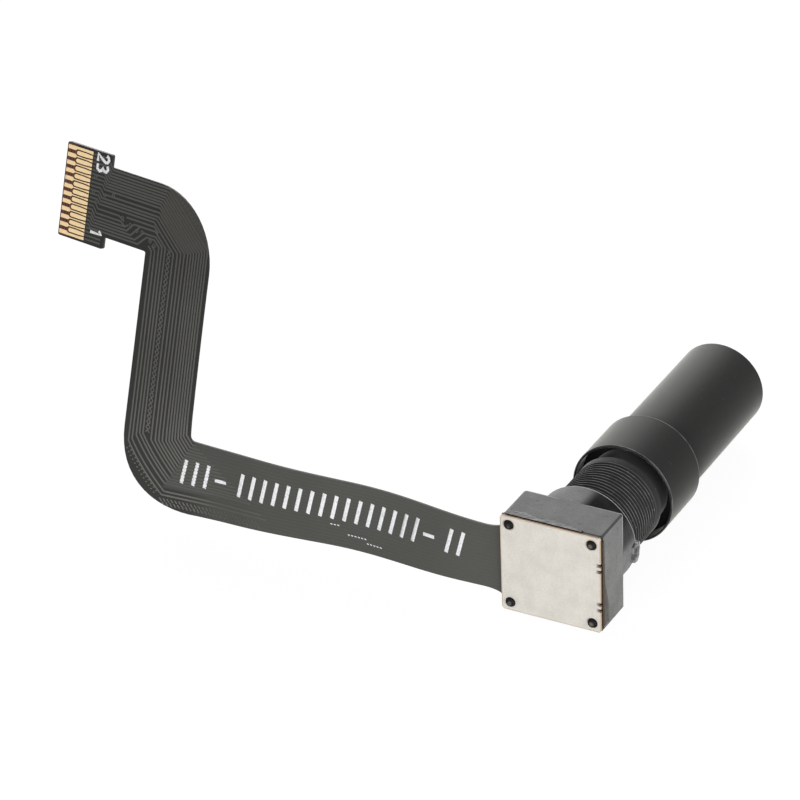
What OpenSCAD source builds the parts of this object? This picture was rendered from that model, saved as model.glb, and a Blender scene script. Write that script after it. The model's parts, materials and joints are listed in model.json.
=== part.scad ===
// Small camera module: a long lens in a square mount on a bent flexible circuit.
// X runs along the square mount's rear edge, Y along the lens axis towards the scene, Z up.
// The origin is the centre of the rear plate's outer face. Millimetres.

/* [Rear sandwich] */
// Side of the square mount and of the rear plate
mount_w = 8.0; // [8.0:0.1:9.0]
// Thickness of the steel rear plate
plate_t = 0.2; // [0.15:0.05:0.4]
// Thickness of the adhesive film under the rear plate
film_t = 0.05; // [0.03:0.01:0.1]
// Thickness of the flexible circuit
flex_t = 0.15; // [0.1:0.01:0.25]
// Thickness of the black adhesive between the mount and the circuit
glue_t = 0.1; // [0.05:0.01:0.2]
// Corner radius of the rear plate and of the layers under it
corner_r = 0.25; // [0.1:0.05:0.4]
// Radius of the mount's left corners
mount_r = 0.4; // [0.1:0.05:0.5]
// Radius of the mount's right corners, which are crisper
crisp_r = 0.15; // [0.1:0.05:0.4]
// Distance that the film and the circuit stay inside the plate's edge
inset = 0.04; // [0.02:0.01:0.1]
// Width of a snapped tab's two notches in the plate's edge
notch_w = 0.26; // [0.1:0.02:0.3]
// Depth of those notches
notch_d = 0.28; // [0.2:0.02:0.4]
// Distance between the two notches of one snapped tab
notch_gap = 0.52; // [0.4:0.02:0.8]
// Height of the upper snapped tab, from the lens axis
tab_high = 1.43; // [0.8:0.01:2.2]
// Height of the lower snapped tab, from the lens axis
tab_low = -1.85; // [-2.4:0.01:-0.8]

/* [Mount] */
// Depth of the mount's square part, with the sandwich behind it
square_depth = 3.75; // [3.2:0.05:4.5]
// Height of the round boss on the square part
boss_h = 2.2; // [1.5:0.1:3.0]
// Distance that the boss stays inside the mount's sides
boss_inset = 0.02; // [0.0:0.01:0.1]
// Diameter of the four locating pegs
peg_d = 0.7; // [0.5:0.05:0.9]
// Distance from the mount's sides to the centre of a peg
peg_edge = 0.7; // [0.6:0.05:0.8]
// Height of a peg's domed end above the rear plate
peg_out = 0.2; // [0.1:0.05:0.4]
// Radial clearance round a peg in the plate, the film and the circuit
peg_gap = 0.05; // [0.03:0.01:0.1]
// Wall of the mount beside the sensor chamber
side_wall = 0.9; // [0.8:0.05:1.1]
// Wall that is left between a peg's root and the chamber's cut corner
peg_wall = 0.18; // [0.1:0.02:0.4]
// Depth of the sensor chamber
chamber_d = 1.5; // [1.4:0.05:1.8]
// Thickness of the wall between the chamber and the lens bore
wall_t = 0.4; // [0.3:0.05:0.6]
// Side of the square light window in that wall
window_w = 4.2; // [3.8:0.1:4.6]
// Side of the infrared filter
filter_w = 5.2; // [5.0:0.1:5.4]
// Thickness of the infrared filter
filter_t = 0.3; // [0.2:0.02:0.4]

/* [Sensor] */
// Space between the chamber's side and the image sensor, where the capacitors stand
side_space = 0.6; // [0.55:0.05:0.8]
// Space between the chamber's top and the image sensor
top_space = 1.0; // [0.7:0.1:1.3]
// Thickness of the image sensor
sensor_t = 0.45; // [0.3:0.05:0.5]
// Thickness of the sensor's cover glass
cover_t = 0.4; // [0.3:0.05:0.5]
// Margin of the sensor outside its cover glass
cover_margin = 0.12; // [0.05:0.01:0.3]
// Length of a chip capacitor
chip_l = 0.6; // [0.4:0.05:0.7]
// Width and height of a chip capacitor
chip_w = 0.3; // [0.2:0.02:0.34]
// Gap between the image sensor and the capacitors
chip_gap = 0.13; // [0.08:0.01:0.2]
// Distance between neighbouring capacitors
chip_pitch = 0.96; // [0.8:0.02:1.1]

/* [Lens body] */
// Major diameter of the lens thread
thread_d = 7.0; // [6.8:0.1:7.2]
// Pitch of the lens thread
thread_pitch = 0.35; // [0.3:0.05:0.5]
// Radial clearance of the lens thread in the mount
thread_gap = 0.03; // [0.01:0.01:0.05]
// Gap between the lens's rear end and the wall behind it
focus_gap = 0.25; // [0.1:0.05:0.4]
// Distance from the rear plate's face to the end of the thread
thread_end = 10.64; // [9.5:0.1:11.0]
// Length of the plain land between the thread and the neck
land_l = 0.8; // [0.5:0.05:0.9]
// Diameter of the barrel's neck, which is fixed in the front tube
neck_d = 6.2; // [6.0:0.1:6.4]
// Length of the neck that is fixed in the front tube
joint_l = 3.2; // [2.5:0.1:3.5]
// Diameter of the front tube
tube_d = 7.05; // [7.05:0.05:7.5]
// Distance from the rear plate's face to the front end of the lens
lens_end = 30.0; // [30.0:0.1:34.0]
// Chamfer on the lens's ends
end_chamfer = 0.12; // [0.05:0.01:0.2]

/* [Collar on the front tube] */
// Outside diameter of the collar
collar_d = 8.16; // [8.1:0.02:8.6]
// Distance from the rear plate's face to the collar's rear rim
collar_y = 12.05; // [11.8:0.05:12.4]
// Length of the collar
collar_l = 4.9; // [4.0:0.1:5.5]
// Depth of the skirt that hangs over the neck
skirt_d = 1.3; // [0.8:0.1:1.6]
// Wall of the skirt
skirt_wall = 0.18; // [0.14:0.02:0.24]
// Chamfer on the collar's rims
collar_chamfer = 0.08; // [0.04:0.01:0.1]

/* [Glass] */
// Diameter of the rear group's cell
rear_cell_d = 5.2; // [4.8:0.1:5.4]
// Diameter of the light path between the two cells
throat_d = 4.2; // [3.8:0.1:4.4]
// Diameter of the front group's cell
front_cell_d = 5.9; // [5.6:0.1:6.1]
// Width of the flat rim on which a lens element is seated
rim_w = 0.3; // [0.2:0.05:0.4]
// Radial clearance of the elements and spacers in their cells
cell_gap = 0.01; // [0.005:0.005:0.02]
// Edge thickness of the rear element
rear_edge = 1.3; // [1.0:0.1:1.6]
// Edge thickness of the third element
third_edge = 1.0; // [0.8:0.1:1.2]
// Edge thickness of the second element
second_edge = 1.5; // [1.2:0.1:1.8]
// Edge thickness of the front element
front_edge = 1.2; // [1.0:0.1:1.5]
// Length of the spacer between the two rear elements
rear_spacer_l = 1.0; // [0.9:0.1:1.2]
// Length of the spacer in front of the aperture stop
middle_spacer_l = 2.2; // [2.0:0.1:3.0]
// Distance from the tube's front end down to the front retaining ring
front_recess = 1.1; // [0.8:0.1:2.0]
// Distance from the barrel's rear end up to the rear retaining ring
rear_recess = 0.2; // [0.1:0.05:0.4]
// Thickness of the aperture stop
stop_t = 0.15; // [0.1:0.05:0.3]
// Diameter of the hole in the aperture stop
stop_d = 2.4; // [1.6:0.1:3.0]
// Length of the two retaining rings
ring_l = 0.8; // [0.6:0.05:1.0]
// Clear diameter of the rear retaining ring
rear_ring_hole = 4.0; // [3.6:0.1:4.2]
// Clear diameter of the front retaining ring
front_ring_hole = 4.9; // [4.6:0.1:5.0]
// Width of a retaining ring's two spanner slots
slot_w = 0.5; // [0.4:0.05:0.7]
// Depth of a retaining ring's two spanner slots
slot_d = 0.3; // [0.2:0.05:0.4]

/* [Flexible circuit, flat size] */
// Width of the arm where it leaves the mount
root_w = 5.33; // [4.8:0.1:5.8]
// Length of the fillets beside the arm's root
flare_l = 1.5; // [1.0:0.1:2.0]
// Height of the fillets beside the arm's root
flare_h = 0.42; // [0.2:0.02:0.6]
// Distance from the lens axis to the near edge of the upright arm
upright_x = 30.42; // [28.0:0.1:34.0]
// Width of the upright arm
upright_w = 6.34; // [5.6:0.1:7.0]
// Height of the long arm's upper edge at the corner, from the lens axis
long_top = 3.12; // [2.8:0.02:3.4]
// Height of the long arm's lower edge at the corner, from the lens axis
long_low = -3.34; // [-3.6:0.02:-2.8]
// Height of the short arm's lower edge, from the lens axis
short_z = 16.27; // [15.0:0.01:20.0]
// Width of the short arm
short_w = 5.44; // [5.0:0.02:5.6]
// Length of the short arm up to the contact head
short_l = 4.33; // [3.5:0.1:6.0]
// Outer radius of the upper corner
upper_r = 5.64; // [5.0:0.02:5.9]
// Outer radius of the lower corner
lower_r = 6.0; // [5.0:0.1:6.3]
// Radius of the two inner corners
inner_r = 0.4; // [0.3:0.05:0.8]

/* [Flexible circuit, bends] */
// Slope of the bend's line across the circuit
bend_slope = 35; // [25:1:45]
// Distance from the mount's edge to the start of the bend, square to its line
bend_start = 14.2; // [12.0:0.1:16.0]
// Length of circuit in the bend
bend_l = 5.4; // [4.0:0.1:8.0]
// Angle of the bend
bend_angle = 21; // [0:1:30]
// Height of the wave in the middle of the long arm
wave_1 = 0.73; // [0:0.01:1.0]
// Height of the wave beside the corner
wave_2 = 0.41; // [0:0.01:0.8]
// Distance from the lens axis to the top of the wave in the middle
wave_1_x = 16.0; // [15.0:0.1:17.0]
// Distance from the lens axis to the top of the wave beside the corner
wave_2_x = 27.4; // [26.0:0.1:28.0]
// Half length of a wave
wave_l = 9.65; // [8.0:0.1:10.5]
// Slant of the waves, in length along the arm for each unit of height
wave_slant = 0.42; // [0:0.02:0.6]

/* [Contacts] */
// Number of contacts, in two staggered rows
contacts = 23; // [15:2:31]
// Distance between neighbouring contacts
contact_pitch = 0.3; // [0.25:0.05:0.5]
// Margin outside the centre of the first and the last contact
contact_margin = 0.35; // [0.3:0.01:0.5]
// Length of the contact head
head_l = 4.6; // [4.0:0.1:6.0]
// Length of the bare gold on the contacts
gold_l = 2.55; // [2.0:0.05:3.0]
// Thickness of the gold contacts
gold_t = 0.02; // [0.01:0.005:0.04]
// Distance from the tip's edge to the gold
tip_gap = 0.1; // [0.05:0.01:0.2]
// Thickness of the stiffener behind the contacts
stiffener_t = 0.15; // [0.1:0.01:0.25]
// Corner radius of the contact head
head_r = 0.16; // [0.1:0.01:0.3]
// Distance from the short arm's middle down to the contact head's middle
head_drop = 0.03; // [0:0.01:0.2]

/* [Glue] */
// Height of the black glue that was squeezed out on the mount's side and top
smear_t = 0.06; // [0.03:0.01:0.12]
// Width of that glue at the mount's foot
smear_w = 0.75; // [0.4:0.05:1.2]
// Length of the clear glue drop that locks the lens
drop_l = 1.7; // [1.2:0.1:2.4]
// Height of the drop's middle, from the lens axis
drop_z = -0.4; // [-1.0:0.1:1.0]
// Height of the drop outside the boss
drop_h = 0.3; // [0.2:0.05:0.5]

/* [Hidden] */
$fn = 96;
// Overlap that makes a cut run clear of a face
eps = 0.05;

// The sandwich from the rear, along the lens axis
flex_y = plate_t + film_t;
glue_y = flex_y + flex_t;
mount_y = glue_y + glue_t;
chamber_y = mount_y + chamber_d;
bore_y = chamber_y + wall_t;
boss_y = square_depth + boss_h;
boss_d = mount_w - 2 * boss_inset;
board_w = mount_w - 2 * inset;
peg_off = mount_w / 2 - peg_edge;
chamber_w = mount_w - 2 * side_wall;
sensor_w = chamber_w - 2 * side_space;
sensor_h = chamber_w - 2 * top_space;
// Sum of |x| and |z| on the chamber's cut corners
chamber_cut = 2 * peg_off - sqrt(2) * (peg_d / 2 + peg_gap + peg_wall);

// The lens along its axis
lens_y = bore_y + focus_gap;
crest_r = thread_d / 2 - thread_gap;
thread_depth = 0.54 * thread_pitch;
land_y = thread_end + land_l;
seat_y = collar_y + skirt_d;
collar_end = collar_y + collar_l;
rear_element_y = lens_y + rear_recess + ring_l;
rear_spacer_y = rear_element_y + rear_edge;
third_y = rear_spacer_y + rear_spacer_l;
throat_y = third_y + third_edge;
// The stop lies against the front end of the barrel's neck
stop_y = seat_y + joint_l;
middle_spacer_y = stop_y + stop_t;
second_y = middle_spacer_y + middle_spacer_l;
front_spacer_y = second_y + second_edge;
// The front element is seated from the tube's front end, and the last spacer fills the rest
front_ring_end = lens_end - front_recess;
front_ring_y = front_ring_end - ring_l;
front_element_y = front_ring_y - front_edge;
front_spacer_l = front_element_y - front_spacer_y;

// The flexible circuit's flat layout, as distances along X and Z
root_x = -board_w / 2;
// The ribbon starts this far inside the part of the circuit that the mount covers
root_lap = inset + peg_gap;
arm_x = root_x - flare_l;
inner_x = -upright_x;
outer_x = -upright_x - upright_w;
short_top = short_z + short_w;
head_x = outer_x - short_l;
tip_x = head_x - head_l;
head_w = (contacts - 1) * contact_pitch + 2 * contact_margin;
head_mid = short_z + short_w / 2 - head_drop;
head_low = head_mid - head_w / 2;
head_top = head_mid + head_w / 2;
// Radius of the bend
bend_r = bend_l / (bend_angle * PI / 180);

// Height of a smooth bump, for q from -1 to 1
function bump(q) = abs(q) < 1 ? (1 + cos(180 * q)) / 2 : 0;
// Out-of-plane wave of the long arm at a flat point [x, z]
function wave(p) =
    wave_1 * bump((p[0] - wave_slant * p[1] + wave_1_x) / wave_l)
    + wave_2 * bump((p[0] - wave_slant * p[1] + wave_2_x) / wave_l);
// Distance of a flat point from the mount's edge, square to the bend's line and along it
function across(p) = -(p[0] + mount_w / 2) * sin(bend_slope) + p[1] * cos(bend_slope);
function along(p) = (p[0] + mount_w / 2) * cos(bend_slope) + p[1] * sin(bend_slope);
// Angle that the circuit has turned through at a distance m across the bend
function turned(m) = min(max((m - bend_start) / bend_l, 0), 1) * bend_angle;
// Place across the bend, and height out of the plane, of a point at a distance m
function bent_m(m) = m < bend_start ? m
    : bend_start + bend_r * sin(turned(m)) + max(m - bend_start - bend_l, 0) * cos(bend_angle);
function bent_y(m) = m < bend_start ? 0
    : bend_r * (1 - cos(turned(m))) + max(m - bend_start - bend_l, 0) * sin(bend_angle);
// Point of the bent circuit for a flat point [x, z], w above its rear face
function bent(p, w = 0) =
    let (m = across(p), s = along(p), a = turned(m), n = bent_m(m) - w * sin(a))
    [-mount_w / 2 + s * cos(bend_slope) - n * sin(bend_slope),
     flex_y + bent_y(m) + wave(p) + w * cos(a),
     s * sin(bend_slope) + n * cos(bend_slope)];

function arc_point(c, r, a) = [c[0] + r * cos(a), c[1] + r * sin(a)];
function blend(a, b, t) = a + (b - a) * t;

// Stations along the circuit: each is a pair of flat points, on its upper and lower edge
flare_n = 6;
long_n = 26;
corner_n = 10;
upright_n = 14;
short_n = 4;
stations = concat(
    [[[root_x + root_lap, root_w / 2 + flare_h], [root_x + root_lap, -root_w / 2 - flare_h]]],
    [for (i = [0 : flare_n - 1])
        let (u = i / flare_n, f = flare_h * (1 - sqrt(1 - pow(1 - u, 2))), x = root_x - u * flare_l)
        [[x, root_w / 2 + f], [x, -root_w / 2 - f]]],
    [for (i = [0 : long_n - 1])
        [blend([arm_x, root_w / 2], [inner_x + inner_r, long_top], i / long_n),
         blend([arm_x, -root_w / 2], [outer_x + lower_r, long_low], i / long_n)]],
    [for (i = [0 : corner_n])
        let (a = 270 - 90 * i / corner_n)
        [arc_point([inner_x + inner_r, long_top + inner_r], inner_r, a),
         arc_point([outer_x + lower_r, long_low + lower_r], lower_r, a)]],
    [for (i = [1 : upright_n - 1])
        [blend([inner_x, long_top + inner_r], [inner_x, short_top - upper_r], i / upright_n),
         blend([outer_x, long_low + lower_r], [outer_x, short_z - inner_r], i / upright_n)]],
    [for (i = [0 : corner_n])
        let (a = 90 * i / corner_n)
        [arc_point([inner_x - upper_r, short_top - upper_r], upper_r, a),
         arc_point([outer_x - inner_r, short_z - inner_r], inner_r, a)]],
    [for (i = [1 : short_n])
        [blend([inner_x - upper_r, short_top], [head_x + head_r, short_top], i / short_n),
         blend([outer_x - inner_r, short_z], [head_x + head_r, short_z], i / short_n)]],
    [[[head_x, head_top - head_r], [head_x, head_low + head_r]],
     [[head_x - head_r, head_top], [head_x - head_r, head_low]],
     [[tip_x + head_r, head_top], [tip_x + head_r, head_low]],
     [[tip_x + 0.3 * head_r, head_top - 0.3 * head_r],
      [tip_x + 0.3 * head_r, head_low + 0.3 * head_r]],
     [[tip_x, head_top - head_r], [tip_x, head_low + head_r]]]);
// Number of strips across the circuit
strips = 6;

// Turns a shape drawn along +Z so that it lies along the lens axis, at a distance y
module on_axis(y = 0) {
    translate([0, y, 0]) rotate([-90, 0, 0]) children();
}

// Extrudes a flat X-Z outline along the lens axis, from y for a depth d
module slab(y, d) {
    translate([0, y + d, 0]) rotate([90, 0, 0]) linear_extrude(height = d) children();
}

// Puts a flat X-Z outline on the contact head, from w for a depth d
module on_head(w, d) {
    flat = [head_x, 0, head_mid];
    seat = bent([head_x, head_mid]);
    translate(seat)
        rotate(a = -bend_angle, v = [cos(bend_slope), 0, sin(bend_slope)])
            translate(-flat) slab(w, d) children();
}

// Square outline with round corners
module round_square(w, r) {
    translate([-w / 2 + r, -w / 2]) square([w - 2 * r, w]);
    translate([-w / 2, -w / 2 + r]) square([w, w - 2 * r]);
    for (x = [-1, 1], z = [-1, 1])
        translate([x * (w / 2 - r), z * (w / 2 - r)]) circle(r, $fn = 32);
}

// Square outline of the mount, with round corners on the left and crisp ones on the right
module mount_outline() {
    half = mount_w / 2;
    round_square(mount_w, mount_r);
    translate([0, -half]) square([half - crisp_r, mount_w]);
    translate([0, -half + crisp_r]) square([half, mount_w - 2 * crisp_r]);
    for (z = [-1, 1])
        translate([half - crisp_r, z * (half - crisp_r)]) circle(crisp_r, $fn = 32);
}

// The four places of the pegs
module at_pegs() {
    for (x = [-1, 1], z = [-1, 1])
        translate([x * peg_off, z * peg_off]) children();
}

// Outline of the sensor chamber, with its corners cut for the pegs, less a gap all round
module chamber_outline(gap = 0) {
    c = chamber_w / 2 - gap;
    k = chamber_cut - sqrt(2) * gap - c;
    polygon([[c, -k], [c, k], [k, c], [-k, c], [-c, k], [-c, -k], [-k, -c], [k, -c]]);
}

// One locating peg with a domed end, pointing out of the rear plate
module peg() {
    r = peg_d / 2;
    dome = 0.3 * r;
    rotate([90, 0, 0]) rotate_extrude($fn = 48)
        polygon([[0, -eps], [r, -eps], [r, mount_y + peg_out - dome],
                 [r - dome, mount_y + peg_out], [0, mount_y + peg_out]]);
}

module lens_mount() {
    color([0.44, 0.45, 0.45]) {
        difference() {
            union() {
                slab(mount_y, square_depth - mount_y) mount_outline();
                on_axis(square_depth - eps) cylinder(d = boss_d, h = boss_h + eps);
            }
            slab(mount_y - eps, chamber_d + eps) chamber_outline();
            slab(chamber_y - eps, wall_t + 2 * eps) square(window_w, center = true);
            on_axis(bore_y) cylinder(d = thread_d, h = boss_y - bore_y + eps);
            // Lead-in at the mouth of the bore
            on_axis(boss_y - 0.15)
                cylinder(r1 = thread_d / 2 - 0.01, r2 = thread_d / 2 + 0.2, h = 0.2);
        }
        for (x = [-1, 1], z = [-1, 1])
            translate([x * peg_off, mount_y, z * peg_off]) peg();
    }
}

// Holes round the four pegs
module peg_holes(gap = peg_gap) {
    at_pegs() circle(d = peg_d + 2 * gap, $fn = 48);
}

// The pair of notches that a snapped tab leaves in the plate's edge
module tab_notches(z) {
    for (s = [-1, 1])
        translate([mount_w / 2 + notch_w / 2 - notch_d, z + s * notch_gap / 2]) {
            circle(d = notch_w, $fn = 24);
            translate([0, -notch_w / 2]) square([notch_d, notch_w]);
        }
}

module rear_plate() {
    color([0.83, 0.80, 0.76]) slab(0, plate_t) difference() {
        round_square(mount_w, corner_r);
        peg_holes();
        tab_notches(tab_high);
        tab_notches(tab_low);
    }
}

module plate_film() {
    color([0.48, 0.27, 0.08]) slab(plate_t, film_t) difference() {
        round_square(board_w, corner_r);
        peg_holes();
        tab_notches(tab_high);
        tab_notches(tab_low);
    }
}

// The circuit outside the mount: a strip swept through the stations and bent
module flex_ribbon() {
    n = len(stations);
    row = strips + 1;
    points = [for (s = stations, j = [0 : strips], w = [0, flex_t])
        bent(blend(s[0], s[1], j / strips), w)];
    // Number of a point: station i, place j across, k = 0 on the rear and 1 on the front face
    function id(i, j, k) = (i * row + j) * 2 + k;
    // Four corners of a face as two triangles
    function quad(a, b, c, d) = [[a, b, c], [a, c, d]];
    faces = [
        for (i = [0 : n - 2], j = [0 : strips - 1], k = [0, 1], t = k == 0
            ? quad(id(i, j, 0), id(i, j + 1, 0), id(i + 1, j + 1, 0), id(i + 1, j, 0))
            : quad(id(i, j, 1), id(i + 1, j, 1), id(i + 1, j + 1, 1), id(i, j + 1, 1))) t,
        for (i = [0 : n - 2], e = [0, strips], t = e == 0
            ? quad(id(i, e, 0), id(i + 1, e, 0), id(i + 1, e, 1), id(i, e, 1))
            : quad(id(i, e, 0), id(i, e, 1), id(i + 1, e, 1), id(i + 1, e, 0))) t,
        for (j = [0 : strips - 1], i = [0, n - 1], t = i == 0
            ? quad(id(i, j, 0), id(i, j, 1), id(i, j + 1, 1), id(i, j + 1, 0))
            : quad(id(i, j, 0), id(i, j + 1, 0), id(i, j + 1, 1), id(i, j, 1))) t];
    polyhedron(points, faces);
}

module flex_circuit() {
    color([0.20, 0.20, 0.19]) {
        flex_ribbon();
        slab(flex_y, flex_t) difference() {
            round_square(board_w, corner_r);
            peg_holes();
        }
    }
}

// Outline of contact i, seen on the contact head with the tip at x = 0.
// Even ones are broad at the tip with a thin stem, odd ones are broad behind it.
module contact_outline(i) {
    outer = i == 0 ? -1 : (i == contacts - 1 ? 1 : 0);
    pad = 0.52 * contact_pitch;
    stem = 0.14 * contact_pitch;
    root = 0.28 * contact_pitch;
    // The first and the last contact keep their full width on the outer side
    up = outer > 0 ? pad : stem;
    low = outer < 0 ? pad : stem;
    row_2 = 0.36 * gold_l;
    if (i % 2 == 0)
        polygon([[0, -pad], [row_2 - 0.15, -pad], [row_2, -low], [0.75 * gold_l, -low],
                 [gold_l, -max(low, root)], [gold_l, max(up, root)], [0.75 * gold_l, up],
                 [row_2, up], [row_2 - 0.15, pad], [0, pad]]);
    else {
        translate([row_2 + pad, 0]) circle(pad, $fn = 24);
        polygon([[row_2 + pad, -pad], [0.75 * gold_l, -pad], [gold_l, -1.4 * root],
                 [gold_l, 1.4 * root], [0.75 * gold_l, pad], [row_2 + pad, pad]]);
    }
}

module contact_fingers() {
    color([0.88, 0.70, 0.36]) on_head(-gold_t, gold_t)
        for (i = [0 : contacts - 1])
            translate([tip_x + tip_gap, head_mid + (i - (contacts - 1) / 2) * contact_pitch])
                contact_outline(i);
}

module contact_stiffener() {
    color([0.10, 0.10, 0.10]) on_head(flex_t, stiffener_t)
        translate([tip_x, head_low]) {
            translate([head_r, 0]) square([head_l - 2 * head_r, head_w]);
            translate([0, head_r]) square([head_l, head_w - 2 * head_r]);
            for (x = [head_r, head_l - head_r], z = [head_r, head_w - head_r])
                translate([x, z]) circle(head_r, $fn = 32);
        }
}

// Outline in Y-Z of the glue squeezed out on the mount's right side, broader towards the foot
module side_smear() {
    low = -mount_w / 2 + mount_r;
    top = mount_w / 2 - mount_r;
    edge = [for (q = [0 : 0.05 : 0.7])
        [mount_y + smear_w * (0.13 + 0.87 * bump((q - 0.1) / 0.5)), blend(low, top, q)]];
    polygon(concat([[flex_y, low]], edge, [[mount_y, top], [flex_y, top]]));
}

// Reach of the glue on the mount's top at even steps along X, as shares of smear_w
tongues = [0.35, 0.6, 0.2, 0.5, 0.08, 0];

// Outline in X-Y of the glue squeezed out on the mount's top, in two tongues
module top_smear() {
    low = -mount_w / 2 + mount_r;
    step = 0.15 * mount_w;
    last = len(tongues) - 1;
    polygon(concat([[low, flex_y]],
                   [for (i = [0 : last]) [low + i * step, mount_y + tongues[i] * smear_w]],
                   [[low + last * step, flex_y]]));
}

module base_glue() {
    color([0.03, 0.03, 0.03]) {
        slab(glue_y, glue_t) difference() {
            round_square(mount_w - inset / 2, corner_r);
            chamber_outline();
            peg_holes();
        }
        difference() {
            union() {
                translate([mount_w / 2 - eps, 0, 0]) rotate([90, 0, 90])
                    linear_extrude(height = smear_t + eps) side_smear();
                translate([0, 0, mount_w / 2 - eps])
                    linear_extrude(height = smear_t + eps) top_smear();
            }
            // What the glue lies against: the circuit and the mount
            slab(flex_y - 1, flex_t + 1) round_square(board_w, corner_r);
            slab(mount_y, square_depth) mount_outline();
        }
    }
}

// The clear drop fills the corner between the thread and the boss, and runs over the boss's rim
module lock_glue() {
    r = boss_d / 2;
    color([0.72, 0.72, 0.70, 0.8]) intersection() {
        on_axis(boss_y) rotate([0, 0, -30]) rotate_extrude(angle = 60)
            polygon([[crest_r, 0], [crest_r, 0.4], [crest_r + 0.2, 0.5], [r + 0.1, 0.42],
                     [r + drop_h, 0.1], [r + 0.9 * drop_h, -0.35], [r, -0.75], [r, 0]]);
        translate([0, boss_y - 0.1, drop_z]) rotate([0, 90, 0]) cylinder(d = drop_l, h = 2 * r);
    }
}

module infrared_filter() {
    color([0.55, 0.75, 0.85, 0.5]) slab(chamber_y - filter_t, filter_t)
        intersection() {
            square(filter_w, center = true);
            chamber_outline(0.05);
        }
}

module image_sensor() {
    color([0.12, 0.12, 0.14]) slab(glue_y, sensor_t) square([sensor_w, sensor_h], center = true);
}

module sensor_cover_glass() {
    color([0.35, 0.40, 0.45, 0.6]) slab(glue_y + sensor_t, cover_t)
        square([sensor_w - 2 * cover_margin, sensor_h - 2 * cover_margin], center = true);
}

module chip_capacitors() {
    x = sensor_w / 2 + chip_gap + chip_w / 2;
    color([0.72, 0.60, 0.46]) slab(glue_y, chip_w)
        for (s = [-1, 1], i = [-1 : 1])
            translate([s * x, i * chip_pitch]) square([chip_w, chip_l], center = true);
}

// Profile of the lens thread: one ridge after another, up to the plain land
thread_n = floor((thread_end - lens_y - end_chamfer) / thread_pitch);
thread_profile = [for (i = [0 : thread_n - 1], q = [0, 1])
    let (y = thread_end - (thread_n - i) * thread_pitch)
    [q == 0 ? crest_r : crest_r - thread_depth, y + q * thread_pitch / 2]];

module lens_barrel() {
    color([0.16, 0.16, 0.16]) on_axis(0) rotate_extrude() polygon(concat(
        [[rear_cell_d / 2, lens_y], [crest_r - end_chamfer, lens_y],
         [crest_r, lens_y + end_chamfer]],
        thread_profile,
        [[crest_r, thread_end], [crest_r, land_y - end_chamfer / 3],
         [crest_r - end_chamfer / 3, land_y], [neck_d / 2, land_y], [neck_d / 2, stop_y],
         [throat_d / 2, stop_y], [throat_d / 2, throat_y], [rear_cell_d / 2, throat_y]]));
}

// The front tube with its collar, whose skirt hangs over the barrel's neck
module front_tube() {
    r = collar_d / 2;
    skirt_r = r - skirt_wall;
    c = collar_chamfer;
    tube_r = tube_d / 2;
    cell_r = front_cell_d / 2;
    color([0.17, 0.17, 0.17]) on_axis(0) rotate_extrude() polygon([
        [skirt_r, collar_y + c / 4], [skirt_r + c / 4, collar_y], [r - c, collar_y],
        [r, collar_y + c], [r, collar_end - c], [r - c, collar_end], [tube_r, collar_end],
        [tube_r, lens_end - end_chamfer], [tube_r - end_chamfer, lens_end],
        [cell_r + end_chamfer, lens_end], [cell_r, lens_end - end_chamfer], [cell_r, stop_y],
        [neck_d / 2, stop_y], [neck_d / 2, seat_y], [skirt_r, seat_y]]);
}

// A glass element: a flat rim, and caps that bulge at the rear and at the front.
// A negative bulge is a hollow.
module element(d, edge, rear_bulge, front_bulge) {
    cap_r = d / 2 - rim_w;
    difference() {
        union() {
            cylinder(d = d, h = edge);
            if (rear_bulge > 0) cap(cap_r, rear_bulge, -1);
            if (front_bulge > 0) translate([0, 0, edge]) cap(cap_r, front_bulge, 1);
        }
        if (rear_bulge < 0) cap(cap_r, -rear_bulge, 1);
        if (front_bulge < 0) translate([0, 0, edge]) cap(cap_r, -front_bulge, -1);
    }
}

// Part of a ball that rises h above a circle of radius r, along +Z or -Z
module cap(r, h, side) {
    ball = (r * r + h * h) / (2 * h);
    intersection() {
        translate([0, 0, side * (h - ball)]) sphere(ball);
        translate([0, 0, side > 0 ? -0.02 : -h - 0.1]) cylinder(r = r, h = h + 0.12);
    }
}

// A plain spacer tube
module spacer(d, hole, l) {
    difference() {
        cylinder(d = d, h = l);
        translate([0, 0, -eps]) cylinder(d = hole, h = l + 2 * eps);
    }
}

// A retaining ring with two spanner slots in the end away from the glass
module retaining_ring(d, hole, l) {
    difference() {
        spacer(d, hole, l);
        translate([-d / 2 - eps, -slot_w / 2, l - slot_d]) cube([d + 2 * eps, slot_w, slot_d + eps]);
    }
}

rear_fit_d = rear_cell_d - 2 * cell_gap;
front_fit_d = front_cell_d - 2 * cell_gap;

module rear_retaining_ring() {
    color([0.10, 0.10, 0.10]) on_axis(rear_element_y) mirror([0, 0, 1])
        retaining_ring(rear_fit_d, rear_ring_hole, ring_l);
}

module rear_element() {
    color([0.60, 0.75, 0.80, 0.5]) on_axis(rear_element_y)
        element(rear_fit_d, rear_edge, 0.3, 0.35);
}

module rear_spacer() {
    color([0.12, 0.12, 0.12]) on_axis(rear_spacer_y)
        spacer(rear_fit_d, rear_fit_d - 2 * rim_w, rear_spacer_l);
}

module third_element() {
    color([0.60, 0.75, 0.80, 0.5]) on_axis(third_y)
        element(rear_fit_d, third_edge, 0.3, -0.2);
}

module aperture_stop() {
    color([0.05, 0.05, 0.05]) on_axis(stop_y) spacer(front_fit_d, stop_d, stop_t);
}

module middle_spacer() {
    color([0.12, 0.12, 0.12]) on_axis(middle_spacer_y)
        spacer(front_fit_d, front_fit_d - 2 * rim_w, middle_spacer_l);
}

module second_element() {
    color([0.60, 0.75, 0.80, 0.5]) on_axis(second_y)
        element(front_fit_d, second_edge, -0.3, 0.4);
}

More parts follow.
